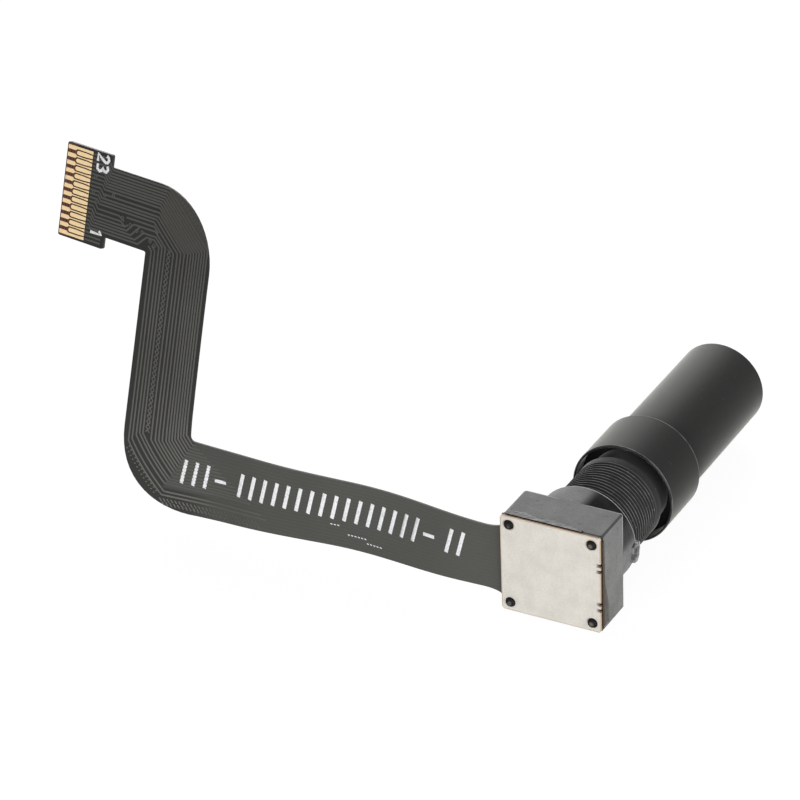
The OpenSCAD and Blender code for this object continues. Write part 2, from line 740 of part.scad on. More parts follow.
module front_spacer() {
    color([0.12, 0.12, 0.12]) on_axis(front_spacer_y)
        spacer(front_fit_d, front_fit_d - 2 * rim_w, front_spacer_l);
}

module front_element() {
    color([0.55, 0.65, 0.80, 0.5]) on_axis(front_element_y)
        element(front_fit_d, front_edge, 0.25, 0.5);
}

module front_retaining_ring() {
    color([0.10, 0.10, 0.10]) on_axis(front_ring_y)
        retaining_ring(front_fit_d, front_ring_hole, ring_l);
}

lens_mount();
rear_plate();
plate_film();
flex_circuit();
contact_fingers();
contact_stiffener();
base_glue();
lock_glue();
infrared_filter();
image_sensor();
sensor_cover_glass();
chip_capacitors();
lens_barrel();
front_tube();
rear_retaining_ring();
rear_element();
rear_spacer();
third_element();
aperture_stop();
middle_spacer();
second_element();
front_spacer();
front_element();
front_retaining_ring();
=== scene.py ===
"""Looks of a small camera module: a long lens in a square mount on a bent flexible circuit.

Lengths are in millimetres until a piece is finished, and then in metres. X runs along the
mount's rear edge, Y along the lens axis towards the front, Z up.
"""
import json
import math

import bmesh
import bpy
from mathutils import Matrix, Vector


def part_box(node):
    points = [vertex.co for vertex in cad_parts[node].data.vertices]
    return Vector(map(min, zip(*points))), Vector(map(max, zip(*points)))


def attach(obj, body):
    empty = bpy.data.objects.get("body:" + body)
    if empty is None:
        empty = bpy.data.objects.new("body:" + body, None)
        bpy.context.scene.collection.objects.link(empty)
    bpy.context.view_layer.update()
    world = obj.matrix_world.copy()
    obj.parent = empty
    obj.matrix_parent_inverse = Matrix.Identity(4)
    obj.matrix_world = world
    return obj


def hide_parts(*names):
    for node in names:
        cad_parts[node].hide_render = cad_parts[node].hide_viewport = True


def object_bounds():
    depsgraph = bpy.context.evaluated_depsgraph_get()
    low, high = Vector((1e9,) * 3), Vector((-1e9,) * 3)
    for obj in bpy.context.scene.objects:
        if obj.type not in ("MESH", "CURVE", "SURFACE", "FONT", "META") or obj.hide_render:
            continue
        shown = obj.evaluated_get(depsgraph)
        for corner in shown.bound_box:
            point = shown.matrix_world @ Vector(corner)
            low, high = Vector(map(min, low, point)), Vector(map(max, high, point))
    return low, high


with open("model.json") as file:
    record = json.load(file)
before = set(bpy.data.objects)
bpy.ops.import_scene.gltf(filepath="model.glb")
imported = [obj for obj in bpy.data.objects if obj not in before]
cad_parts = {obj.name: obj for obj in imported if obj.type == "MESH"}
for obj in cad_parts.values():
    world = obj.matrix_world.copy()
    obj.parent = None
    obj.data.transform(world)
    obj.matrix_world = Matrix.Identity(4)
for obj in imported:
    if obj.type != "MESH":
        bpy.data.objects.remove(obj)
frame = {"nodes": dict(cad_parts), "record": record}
cad_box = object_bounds()
nodes = frame["nodes"]

MM = 0.001
TURN_STEPS = 144


# ---------------------------------------------------------------- sizes from the frame

def low(node):
    """Lowest corner of a CAD node, in millimetres."""
    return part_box(node)[0] / MM


def high(node):
    """Highest corner of a CAD node, in millimetres."""
    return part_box(node)[1] / MM


MOUNT_W = high("rear_plate").x - low("rear_plate").x
PLATE_T = high("rear_plate").y - low("rear_plate").y
BOSS_Y = high("lens_mount").y
HALF_W = MOUNT_W / 2
TUBE_END = high("front_tube").y
COLLAR_Y = low("front_tube").y
COLLAR_R = high("front_tube").x
BARREL_Y = low("lens_barrel").y
CREST_R = high("lens_barrel").x

# The mount
FILM_T = 0.05
FLEX_Y = PLATE_T + FILM_T
MOUNT_DEPTH = 3.75
BOSS_R = 3.98
TAB_HIGH, TAB_LOW = 1.43, -1.85
PEG_PLACE = 3.3
PEG_HOLE_R = 0.4
PEG_DOME = 0.19
NOTCH_FROM_TAB = 0.26

# The front tube and the barrel
TUBE_R = 3.525
COLLAR_L = 4.9
SKIRT_WALL = 0.18
SKIRT_DEPTH = 1.3
THREAD_END = 10.64
LAND_L = 0.8
NECK_R = 3.1
PITCH = 0.35
THREAD_DEPTH = 0.19
REAR_CELL_R = 2.6
THROAT_R = 2.1
REAR_CELL_END = 6.95
FRONT_CELL_R = 2.95
JOINT_L = 3.2
THREAD_STEPS = 72

# The flexible circuit's flat layout
FLEX_T = 0.15
HALF_BOARD = HALF_W - 0.04
ROOT_W = 5.33
FLARE_L = 1.5
FLARE_H = 0.42
UPRIGHT_X = -30.42
UPRIGHT_W = 6.34
LONG_TOP = 3.12
LONG_LOW = -3.34
SHORT_Z = 16.27
SHORT_W = 5.44
SHORT_L = 4.33
UPPER_R = 5.64
LOWER_R = 6.0
INNER_R = 0.4
CRISP_R = 0.15
OUTER_X = UPRIGHT_X - UPRIGHT_W
SHORT_TOP = SHORT_Z + SHORT_W
HEAD_X = OUTER_X - SHORT_L
HEAD_L = 4.6
TIP_X = HEAD_X - HEAD_L
HEAD_R = 0.16
CONTACTS = 23
CONTACT_PITCH = 0.3
HEAD_W = (CONTACTS - 1) * CONTACT_PITCH + 0.7
HEAD_MID = SHORT_Z + SHORT_W / 2 - 0.03
GOLD_END = -43.02

# Its bend and its two waves
BEND_SLOPE = math.radians(35)
BEND_START = 14.2
BEND_L = 5.4
BEND_ANGLE = math.radians(21)
BEND_R = BEND_L / BEND_ANGLE
WAVES = ((0.73, 16.0), (0.41, 27.4))
WAVE_L = 9.65
WAVE_SLANT = 0.42


def bent(x, z, w=0.0):
    """Place of a flat point of the circuit that lies w in front of its rear face."""
    s, c = math.sin(BEND_SLOPE), math.cos(BEND_SLOPE)
    across = -(x + HALF_W) * s + z * c
    along = (x + HALF_W) * c + z * s
    angle = min(max((across - BEND_START) / BEND_L, 0.0), 1.0) * BEND_ANGLE
    rise = 0.0
    if across > BEND_START:
        past = max(across - BEND_START - BEND_L, 0.0)
        across = BEND_START + BEND_R * math.sin(angle) + past * math.cos(BEND_ANGLE)
        rise = BEND_R * (1 - math.cos(angle)) + past * math.sin(BEND_ANGLE)
    for height, place in WAVES:
        q = (x - WAVE_SLANT * z + place) / WAVE_L
        if abs(q) < 1:
            rise += height * (1 + math.cos(math.pi * q)) / 2
    across -= w * math.sin(angle)
    return Vector((-HALF_W + along * c - across * s, FLEX_Y + rise + w * math.cos(angle),
                   along * s + across * c))


# ---------------------------------------------------------------- shader maths

class Value:
    """A number from a node's socket. Python's operators on it add Math nodes."""

    def __init__(self, finish, socket):
        self.finish, self.socket = finish, socket

    def math(self, operation, *values):
        inputs = {i: v for i, v in enumerate(values)}
        return self.finish.node("ShaderNodeMath", {"operation": operation}, inputs)

    def __add__(self, other):
        return self.math("ADD", self, other)

    def __sub__(self, other):
        return self.math("SUBTRACT", self, other)

    def __rsub__(self, other):
        return self.math("SUBTRACT", other, self)

    def __mul__(self, other):
        return self.math("MULTIPLY", self, other)

    def __neg__(self):
        return 0.0 - self

    __radd__, __rmul__ = __add__, __mul__

    def abs(self):
        return self.math("ABSOLUTE", self)

    def fraction(self):
        return self.math("FRACT", self)

    def most(self, other):
        return self.math("MAXIMUM", self, other)

    def least(self, other):
        return self.math("MINIMUM", self, other)

    def power(self, other):
        return self.math("POWER", self, other)

    def step(self, start, end):
        """0 below start, 1 above end, smooth between them."""
        settings = {"interpolation_type": "SMOOTHSTEP"}
        return self.finish.node("ShaderNodeMapRange", settings, {0: self, 1: start, 2: end})


class Shading:
    """The nodes of a material or of the world."""

    def __init__(self, tree):
        self.tree = tree

    def put(self, socket, value):
        """Links a Value to a socket, or sets a constant on it."""
        if isinstance(value, Value):
            self.tree.links.new(value.socket, socket)
        elif socket.type == "RGBA" and len(value) == 3:
            socket.default_value = (*value, 1.0)
        else:
            socket.default_value = value

    def node(self, kind, settings=None, values=None, out=0):
        """Adds a node with its settings and input values, and gives one of its outputs."""
        node = self.tree.nodes.new(kind)
        for name, value in (settings or {}).items():
            setattr(node, name, value)
        for name, value in (values or {}).items():
            self.put(node.inputs[name], value)
        return Value(self, node.outputs[out])


class Finish(Shading):
    """One material on a Principled shader."""

    def __init__(self, name, **constants):
        self.material = bpy.data.materials.new(name)
        self.material.use_nodes = True
        super().__init__(self.material.node_tree)
        self.shader = self.tree.nodes["Principled BSDF"]
        for socket, value in constants.items():
            self.set(socket.replace("_", " ").title().replace("Ior", "IOR"), value)

    def place(self):
        """Place on the object, in metres."""
        return self.node("ShaderNodeTexCoord", out="Object")

    def millimetres(self):
        """X, Y and Z of the place on the object, in millimetres."""
        x = self.node("ShaderNodeSeparateXYZ", values={0: self.place()}, out="X")
        y, z = (Value(self, x.socket.node.outputs[axis]) for axis in "YZ")
        return x * 1000.0, y * 1000.0, z * 1000.0

    def flat(self):
        """X and Z of the flat layout, in millimetres."""
        uv = self.node("ShaderNodeUVMap", {"uv_map": "flat"})
        x = self.node("ShaderNodeSeparateXYZ", values={0: uv}, out="X")
        z = Value(self, x.socket.node.outputs["Y"])
        return x * 100.0 - 50.0, z * 100.0 - 50.0

    def rear_face(self):
        """1 on faces turned to the rear, 0 on those turned to the front."""
        normal = self.node("ShaderNodeNewGeometry", out="Normal")
        return 1.0 - self.node("ShaderNodeSeparateXYZ", values={0: normal}, out="Y").step(-0.1, 0.1)

    def noise(self, per_mm, detail=3.0, rough=0.55, where=None):
        """Noise from 0 to 1 with about per_mm features in a millimetre."""
        values = {"Scale": per_mm / MM, "Detail": detail, "Roughness": rough,
                  "Vector": where or self.place()}
        return self.node("ShaderNodeTexNoise", values=values)

    def stretched(self, x, y, z):
        """Place on the object, scaled along X, Y and Z."""
        return self.node("ShaderNodeMapping", values={"Vector": self.place(), "Scale": (x, y, z)})

    def mix(self, factor, first, second):
        """The first colour where factor is 0, the second where it is 1."""
        node = self.node("ShaderNodeMix", {"data_type": "RGBA"}, out=2).socket.node
        for socket, value in zip((node.inputs[0], node.inputs[6], node.inputs[7]),
                                 (factor, first, second)):
            self.put(socket, value)
        return Value(self, node.outputs[2])

    def bump(self, height, depth_mm, strength=1.0):
        """Lets the surface look uneven by about depth_mm."""
        values = {"Height": height, "Distance": depth_mm * MM, "Strength": strength}
        self.set("Normal", self.node("ShaderNodeBump", values=values))

    def set(self, name, value):
        """Sets or links one of the shader's inputs by its name."""
        self.put(self.shader.inputs[name], value)


def grey(level):
    """A neutral colour."""
    return (level, level, level)


def scaled(colour, by):
    """A colour made lighter or darker."""
    return [by * c for c in colour]


def peg_distance(side, top):
    """Distance from the nearest peg's centre, from the distances to the mount's middle."""
    return ((side - PEG_PLACE) * (side - PEG_PLACE)
            + (top - PEG_PLACE) * (top - PEG_PLACE)).power(0.5)


# ---------------------------------------------------------------- finishes

def mount_plastic():
    """Matt grey moulded plastic, with painted highlights along its front edges and on the boss's rim, and
    with dark pegs.

    Painted shade darkens two opposite corners of the step round the boss and a line along the
    right edges, and painted highlights lighten the boss on its upper left and the middle of each peg.
    """
    f = Finish("mount_plastic", specular_ior_level=0.10)
    x, y, z = f.millimetres()
    cloud = f.noise(0.5)
    grain = f.noise(9.0, 4.0)
    scuffs = f.noise(1.0, 5.0, 0.8, f.stretched(1.1, 2.6, 1.3))
    rubbed, dirty = scuffs.step(0.58, 0.70), 1.0 - scuffs.step(0.34, 0.44)
    body = f.mix(cloud.step(0.30, 0.70) * 0.4 + grain.step(0.30, 0.70) * 0.6,
                 (0.118, 0.123, 0.119), (0.212, 0.217, 0.209))
    body = f.mix(rubbed * 0.45, body, (0.29, 0.295, 0.285))
    body = f.mix(dirty * 0.55, body, (0.060, 0.062, 0.060))
    side, top = x.abs(), z.abs()
    radius = (x * x + z * z).power(0.5)
    # Painted shade: a dark line along the mount's right edges at the top and the bottom.
    corner = (x + top).step(MOUNT_W - 0.17, MOUNT_W - 0.13)
    # Painted highlight: pale lines along the mount's front edges and on the boss's rim.
    front_edge_highlight = (y.step(MOUNT_DEPTH - 0.09, MOUNT_DEPTH - 0.03) * side.least(top).step(0.8, 1.6)
                  * (1.0 - y.step(MOUNT_DEPTH + 0.01, MOUNT_DEPTH + 0.04)))
    rim = y.step(BOSS_Y - 0.10, BOSS_Y - 0.04) * radius.step(BOSS_R - 0.09, BOSS_R - 0.04)
    body = f.mix(corner * 0.8, body, grey(0.035))
    body = f.mix(front_edge_highlight.most(rim) * (0.45 + grain * 0.6), body, (0.50, 0.51, 0.50))
    # Painted shade: the step round the boss is darkened in two opposite corners, where the mount's corners
    # shade it, and less on the right.
    corner_shade = (x * z).step(1.2, 5.0) * y.step(MOUNT_DEPTH - 0.02, MOUNT_DEPTH + 0.04)
    corner_shade = corner_shade * (1.0 - (x - z).step(0.4, 2.2) * 0.35)
    corner_shade = (corner_shade * (1.0 - rim) * (0.80 + cloud * 0.4)).least(1.0)
    body = f.mix(corner_shade, body, grey(0.005))
    # Painted highlight: the boss is lighter on its upper left.
    boss_highlight = (-x).step(0.4, 2.4) * z.step(2.2, 3.2) * y.step(MOUNT_DEPTH, BOSS_Y)
    body = f.mix(boss_highlight * 0.7, body, (0.30, 0.305, 0.30))
    peg = 1.0 - y.step(0.30, 0.42)
    from_peg = peg_distance(side, top)
    # Painted highlight: a pale patch in the middle of each dark peg.
    peg_highlight = (1.0 - from_peg.step(0.08, 0.24)) * f.noise(2.6, 3.0).step(0.35, 0.60)
    melted = f.mix(peg_highlight, grey(0.008), (0.13, 0.13, 0.12))
    f.set("Base Color", f.mix(peg, body, melted))
    f.set("Roughness", 0.42 + grain * 0.2 + corner_shade * 0.35)
    f.bump(grain * 0.6 + scuffs * 0.4, 0.018, 0.6)
    return f.material


def plate_steel():
    """Rolled steel with a fine grain, stained brown along its edges and round its holes.

    It is torn bright where its two tabs were snapped off, and dark beside their notches.
    """
    f = Finish("plate_steel", metallic=0.65)
    x, y, z = f.millimetres()
    grain = f.noise(1.0, 6.0, 0.75, f.stretched(5.0, 4.0, 11.0))
    mottle = f.noise(0.7, 4.0, 0.6)
    bright = f.mix((grain * 1.8 - 0.4) * 0.6 + (mottle * 1.6 - 0.3) * 0.4,
                   (0.48, 0.450, 0.400), (0.84, 0.815, 0.765))
    side, top = x.abs(), z.abs()
    edge = side.most(top)
    from_peg = peg_distance(side, top)
    halo = (1.0 - from_peg.step(PEG_HOLE_R + 0.02, PEG_HOLE_R + 0.16)) * mottle.step(0.42, 0.56)
    line = edge.step(HALF_W - 0.11, HALF_W - 0.05) * 0.55
    from_tab = (z - TAB_HIGH).abs().least((z - TAB_LOW).abs())
    torn = (x + grain * 0.3 - from_tab).step(3.50, 3.62) * (1.0 - from_tab.step(0.34, 0.44))
    # Darker beside the notches.
    dark_beside_notch = (1.0 - (from_tab - NOTCH_FROM_TAB).abs().step(0.10, 0.19)) * (x + mottle * 0.2).step(3.70, 3.82)
    stained = line.most(halo * 0.7).most(mottle.step(0.60, 0.78) * 0.18)
    cut = edge.step(HALF_W - 0.03, HALF_W - 0.005) * y.step(0.02, 0.06)
    colour = f.mix(stained, bright, (0.46, 0.33, 0.20))
    colour = f.mix(torn * mottle.step(0.40, 0.60) * 0.55, colour, (0.84, 0.83, 0.81))
    colour = f.mix(dark_beside_notch * 0.55, colour, (0.06, 0.055, 0.05))
    f.set("Base Color", f.mix(cut, colour, (0.16, 0.085, 0.035)))
    f.set("Roughness", 0.50 + grain * 0.25)
    f.set("Metallic", 0.65 - cut * 0.6)
    f.bump(grain, 0.003, 0.5)
    return f.material


def amber_film():
    """Amber film, seen only at its edge."""
    f = Finish("polyimide_film", roughness=0.3)
    f.set("Base Color", f.mix(f.noise(3.0), (0.20, 0.075, 0.012), (0.34, 0.15, 0.03)))
    return f.material


# Where the outermost track turns at the lower corner, in the flat layout
TURN_X, TURN_Z = -30.16, 2.83


def coverlay(name, dark, pale, over_long):
    """Satin film on the circuit, on the ground between the tracks or on the tracks.

    over_long is its colour on the long arm, a painted sheen under which the tracks hardly show
    and only faint stripes run lengthwise; the sheen is painted darker further from the root. The
    tracks show again past a slanting line at the lower corner, and the inside of the upper corner is
    plain, a painted sheen too. The film is also painted lighter towards the bottom of the layout and
    darker near its top, as sheen. Under the bare contacts the ground is brown, and the head has a
    black margin. The face turned to the front is plain.
    """
    f = Finish(name, specular_ior_level=0.22)
    x, z = f.flat()
    cloud = f.noise(0.16, 3.0)
    fine = f.noise(14.0, 2.0)
    # Painted sheen: the long arm, up to a slanting line at the lower corner, takes a plain colour that hides
    # the tracks, darker further from the root.
    past_turn = (x - TURN_X - (z - TURN_Z) * 0.66).step(-0.15, 0.25)
    long_arm_sheen = past_turn * z.step(-1.5, -1.2) * (1.0 - z.step(3.2, 3.4))
    long_arm_sheen = long_arm_sheen.most(x.step(-31.5, -27.5) * (1.0 - z.step(3.2, 3.4)))
    near_root = x.step(-31.0, -6.0)
    film = f.mix(cloud * 0.75 + fine * 0.25, dark, pale)
    plain = f.mix(near_root, scaled(over_long, 0.82), over_long)
    plain = f.mix(cloud.step(0.35, 0.65) * 0.25, plain, scaled(over_long, 1.25))
    # Faint lengthwise stripes of the tracks showing through the painted sheen, fading towards the root.
    faint_stripes = ((z * 3.3).fraction() - 0.5).abs().step(0.1, 0.4) * (1.0 - x.step(-20.0, -4.0) * 0.6)
    plain = f.mix(faint_stripes * 0.30 + fine.step(0.4, 0.7) * 0.2, plain, scaled(over_long, 0.62))
    # A plain crescent of painted sheen: past the tracks' slant, left of the upright's end, above the short
    # arm's
    upper_corner_sheen = ((z + x * 0.839 + 10.91).step(0.0, 0.3)
                    * (x + 35.86 - (z - 19.17) * 0.335).step(-0.1, 0.3)
                    * (z - 17.0 - (x + 33.27) * 0.356).step(-0.2, 0.2))
    # Painted sheen: lighter towards the bottom of the layout and darker near its top.
    film = f.mix((1.0 - z.step(0.0, 10.0)) * 0.6, film, scaled(pale, 1.35))
    film = f.mix(z.step(13.0, 16.5) * 0.35, film, scaled(dark, 0.7))
    film = f.mix(long_arm_sheen * 0.85, film, plain)
    film = f.mix(upper_corner_sheen * 0.75, film, (0.058, 0.056, 0.050))
    bare = 1.0 - x.step(GOLD_END - 0.04, GOLD_END + 0.04)
    tips = 1.0 - x.step(-44.76, -44.62)
    ground = f.mix(tips, (0.020, 0.012, 0.009), (0.125, 0.048, 0.026))
    film = f.mix(x.step(0.3 - HALF_BOARD, 0.4 - HALF_BOARD), film, grey(0.006))
    margin = (z - HEAD_MID).abs().step(HEAD_W / 2 - 0.10, HEAD_W / 2 - 0.06).most(
        1.0 - x.step(TIP_X + 0.07, TIP_X + 0.11)) * bare
    film = f.mix(f.rear_face(), f.mix(cloud * 0.6 + fine * 0.4, grey(0.014), grey(0.040)), film)
    film = f.mix(bare, film, ground)
    f.set("Base Color", f.mix(margin, film, (0.014, 0.011, 0.011)))
    f.set("Roughness", 0.38 + fine * 0.14 + cloud * 0.1)
    f.bump(fine, 0.003, 0.4)
    return f.material


def gold_plating():
    """Soft gold with a fine grain."""
    f = Finish("gold_plating", metallic=0.55)
    grain = f.noise(6.0, 3.0)
    f.set("Base Color", f.mix(grain, (0.84, 0.60, 0.32), (0.97, 0.75, 0.44)))
    f.set("Roughness", 0.36 + grain * 0.15)
    f.bump(grain, 0.004, 0.4)
    return f.material


def print_ink(name, colour):
    """Screen print with a broken, grainy edge."""
    f = Finish(name, specular_ior_level=0.25)
    grain = f.noise(7.0, 3.0)
    f.set("Base Color", f.mix(grain.step(0.30, 0.50), scaled(colour, 0.7), colour))
    f.set("Roughness", 0.5 + grain * 0.2)
    return f.material


def stiffener_film():
    """Matt dark brown film behind the contacts."""
    f = Finish("stiffener_film")
    grain = f.noise(8.0)
    f.set("Base Color", f.mix(grain, (0.028, 0.020, 0.014), (0.055, 0.040, 0.028)))
    f.set("Roughness", 0.5 + grain * 0.15)
    return f.material


def black_epoxy():
    """Glossy black glue, dulled to grey-brown where it was smeared thin on the side."""
    f = Finish("black_epoxy", specular_ior_level=0.22)
    x, y, _ = f.millimetres()
    swell = f.noise(2.2, 3.0)
    smeared = x.step(HALF_W - 0.03, HALF_W + 0.01)
    pool = f.mix(swell, grey(0.004), grey(0.016))
    smear = f.mix(swell.step(0.35, 0.65), (0.040, 0.034, 0.030), (0.085, 0.078, 0.070))
    edge_line = 1.0 - y.step(0.50, 0.62)
    smear = f.mix(edge_line, smear, (0.030, 0.018, 0.010))
    f.set("Base Color", f.mix(smeared, pool, smear))
    f.set("Roughness", 0.12 + smeared * 0.33)
    f.bump(swell, 0.10, 0.7)
    return f.material


def clear_glue():
    """Cloudy drop of glue with a bright streak down its middle, a painted highlight."""
    f = Finish("clear_glue", ior=1.5, transmission_weight=0.25)
    _, y, _ = f.millimetres()
    cloud = f.noise(2.4, 3.0)
    # Painted highlight: a bright band down the drop's middle.
    streak = 1.0 - (y - BOSS_Y + cloud * 0.3 - 0.27).abs().step(0.05, 0.16)
    body = f.mix(cloud.step(0.40, 0.62), (0.045, 0.048, 0.045), (0.20, 0.21, 0.20))
    f.set("Base Color", f.mix(streak * 0.85, body, (0.78, 0.80, 0.76)))
    f.set("Roughness", 0.10 + cloud * 0.15)
    f.bump(cloud, 0.06, 0.7)
    return f.material


def glass(name, tint, coat):
    """Polished glass with a thin coating whose colour shows at a slant."""
    f = Finish(name, roughness=0.02, ior=1.5, transmission_weight=1.0)
    slant = f.node("ShaderNodeLayerWeight", values={"Blend": 0.35}, out="Facing")
    f.set("Base Color", f.mix(slant, tint, coat))
    return f.material


def silicon():
    """Dark polished silicon with a fine pattern of cells."""
    f = Finish("silicon", metallic=0.3)
    cell = f.noise(20.0, 1.0)
    f.set("Base Color", f.mix(cell, (0.012, 0.014, 0.022), (0.05, 0.035, 0.06)))
    f.set("Roughness", 0.18 + cell * 0.1)
    return f.material


def chip_ceramic():
    """Fired brown ceramic."""
    f = Finish("chip_ceramic")
    end = f.noise(4.0)
    f.set("Base Color", f.mix(end, (0.30, 0.20, 0.11), (0.48, 0.36, 0.24)))
    f.set("Roughness", 0.45 + end * 0.2)
    return f.material


def anodised(name, deep, pale, specks, worn_and_highlit):
    """Satin black anodising with fine rings from the lathe.

    specks is how pale its dust specks are, and wear is a function from (finish, y, radius) to
    where the edge shows pale lines, partly worn metal and partly painted highlight.
    """
    f = Finish(name, specular_ior_level=0.08, sheen_weight=1.0, sheen_roughness=0.32,
               sheen_tint=(1.0, 1.0, 0.94, 1.0))
    x, y, z = f.millimetres()
    radius = (x * x + z * z).power(0.5)
    rings = f.noise(1.0, 4.0, 0.6, f.stretched(0.3, 18.0, 0.3))
    dust = f.noise(12.0, 3.0, 0.7)
    speck = f.noise(5.0, 2.0).step(0.70, 0.75)
    film = f.mix(rings * 0.4 + dust * 0.6, deep, pale)
    film = f.mix(speck, film, grey(specks))
    seat = COLLAR_Y + SKIRT_DEPTH
    inside = radius.step(COLLAR_R - SKIRT_WALL - 0.01, COLLAR_R - SKIRT_WALL + 0.01)
    # Painted light: the recess inside the skirt is coloured lighter than the film, standing in for light
    # that reaches it.
    recess = ((1.0 - inside) * y.step(COLLAR_Y + 0.04, COLLAR_Y + 0.08)
              * (1.0 - y.step(seat + 0.02, seat + 0.06)))
    film = f.mix(recess, film, grey(0.018))
    # Pale edge lines: partly worn metal, partly painted highlight.
    f.set("Base Color", f.mix(worn_and_highlit(f, y, radius), film, (0.34, 0.34, 0.33)))
    f.set("Roughness", 0.48 + rings * 0.08 + dust * 0.06 + recess * 0.35)
    f.bump(rings * 0.3 + dust * 0.7, 0.012, 0.5)
    return f.material


def collar_worn_and_highlit(f, y, radius):
    """Thin pale lines on the collar's rims: partly bare worn metal and partly painted highlight; the line
    near the front end is painted highlight only.
    """
    broken = f.noise(1.2, 3.0).step(0.30, 0.60)
    rear = 1.0 - y.step(COLLAR_Y + 0.09, COLLAR_Y + 0.11)
    edge = 1.0 - (y - COLLAR_Y - 0.09).abs().step(0.015, 0.04)
    chamfer = (1.0 - (radius - COLLAR_R + 0.08).abs().step(0.010, 0.03)) * rear
    # Painted highlight: a pale line near the collar's front end.
    front_highlight = 1.0 - (y - COLLAR_Y - COLLAR_L + 0.11).abs().step(0.02, 0.05)
    outside = radius.step(COLLAR_R - 0.10, COLLAR_R - 0.06)
    lines = (edge * 0.55).most(front_highlight * 0.45).most(chamfer * 0.35)
    return lines * outside * (0.35 + broken * 0.65)


def thread_highlights(f, y, radius):
    """Painted highlight lines on the thread's ridge tops, and on the rims of the plain land."""
    # Painted highlight on the thread's ridge tops.
    crest = radius.step(CREST_R - 0.022, CREST_R - 0.008) * (1.0 - y.step(
        THREAD_END - 0.05, THREAD_END))
    patches = f.noise(0.8, 3.0).step(0.40, 0.65)
    rim = (1.0 - (y - THREAD_END - 0.02).abs().step(0.02, 0.05)) * 0.12
    return (crest * (0.18 + patches * 0.24)).most(rim)


def blackened():
    """Dull black finish of the rings inside the lens."""
    f = Finish("blackened_ring")
    rings = f.noise(1.0, 3.0, 0.5, f.stretched(0.5, 12.0, 0.5))
    f.set("Base Color", f.mix(rings, grey(0.008), grey(0.022)))
    f.set("Roughness", 0.55 + rings * 0.15)
    return f.material


FINISHES = {
    "mount_plastic": mount_plastic(),
    "plate_steel": plate_steel(),
    "polyimide_film": amber_film(),
    "coverlay": coverlay("coverlay", (0.010, 0.010, 0.009), (0.025, 0.025, 0.022),
                         (0.088, 0.088, 0.080)),
    "track": coverlay("coverlay_on_tracks", (0.066, 0.066, 0.061), (0.122, 0.121, 0.111),
                      (0.096, 0.096, 0.087)),
    "white_print": print_ink("white_print", (0.86, 0.87, 0.88)),
    "dark_print": print_ink("dark_print", (0.010, 0.010, 0.010)),
    "gold_plating": gold_plating(),
    "stiffener_film": stiffener_film(),
    "black_epoxy": black_epoxy(),
    "clear_glue": clear_glue(),
    "filter_glass": glass("filter_glass", (0.70, 0.88, 0.95), (0.95, 0.55, 0.50)),
    "silicon": silicon(),
    "cover_glass": glass("cover_glass", (0.88, 0.92, 0.92), (0.75, 0.85, 0.80)),
    "chip_ceramic": chip_ceramic(),
    "black_anodised": anodised("black_anodised", grey(0.0005), grey(0.012), 0.035, collar_worn_and_highlit),
    "barrel_anodised": anodised("barrel_anodised", grey(0.008), grey(0.036), 0.16, thread_highlights),
    "blackened_ring": blackened(),
    "lens_glass": glass("lens_glass", (0.94, 0.97, 0.98), (0.55, 0.62, 0.95)),
}


# ---------------------------------------------------------------- making pieces

def finish_piece(bm, name, finish, replaces=(), smooth_below=35):
    """Makes a closed bmesh in millimetres an object in metres, dressed with its finish and hung on the root
    body.
    """
    bmesh.ops.scale(bm, vec=(MM, MM, MM), verts=bm.verts)
    mesh = bpy.data.meshes.new(name)
    bm.to_mesh(mesh)
    bm.free()
    mesh.shade_smooth()
    mesh.set_sharp_from_angle(angle=math.radians(smooth_below))
    mesh.materials.append(FINISHES[finish])
    piece = bpy.data.objects.new(name, mesh)
    bpy.context.scene.collection.objects.link(piece)
    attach(piece, "root")
    if replaces:
        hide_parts(*replaces)
    return piece


def turned(bm, profile):
    """Turns a closed profile of (radius, y) points about the lens axis."""
    ring = [bm.verts.new((r, y, 0)) for r, y in profile]
    edges = [bm.edges.new(pair) for pair in zip(ring, ring[1:] + ring[:1])]
    bmesh.ops.spin(bm, geom=ring + edges, cent=(0, 0, 0), axis=(0, 1, 0),
                   angle=math.tau, steps=TURN_STEPS, use_merge=True)
    bmesh.ops.recalc_face_normals(bm, faces=bm.faces)


def from_cad(node):
    """A merged copy of a CAD node in millimetres."""
    bm = bmesh.new()
    bm.from_mesh(nodes[node].data)
    bmesh.ops.scale(bm, vec=(1 / MM,) * 3, verts=bm.verts)
    bmesh.ops.remove_doubles(bm, verts=bm.verts, dist=0.0005)
    bmesh.ops.dissolve_limit(bm, angle_limit=math.radians(1), verts=bm.verts, edges=bm.edges)
    return bm


def round_edges(bm, radius, sharp_over=50):
    """Rounds the edges at which faces meet at more than sharp_over degrees."""
    sharp = [e for e in bm.edges if len(e.link_faces) == 2
             and e.calc_face_angle(0) > math.radians(sharp_over)]
    bmesh.ops.bevel(bm, geom=sharp, offset=radius, segments=2, profile=0.5, affect="EDGES",
                    clamp_overlap=True, material=-1)


def arc(cx, cz, r, start, end, steps):
    """Points of an arc from start to end degrees."""
    turns = [math.radians(start + (end - start) * i / steps) for i in range(steps + 1)]
    return [(cx + r * math.cos(a), cz + r * math.sin(a)) for a in turns]


def keep_flat(bm):
    """Stores each corner's flat X and Z in the UV map named flat."""
    layer = bm.loops.layers.uv.new("flat")
    for face in bm.faces:
        for loop in face.loops:
            loop[layer].uv = ((loop.vert.co.x + 50) / 100, (loop.vert.co.z + 50) / 100)


def bend(bm):
    """Moves a flat piece, whose Y is its height over the circuit's rear face, onto the circuit."""
    for vert in bm.verts:
        vert.co = bent(vert.co.x, vert.co.z, vert.co.y)


# ---------------------------------------------------------------- the circuit

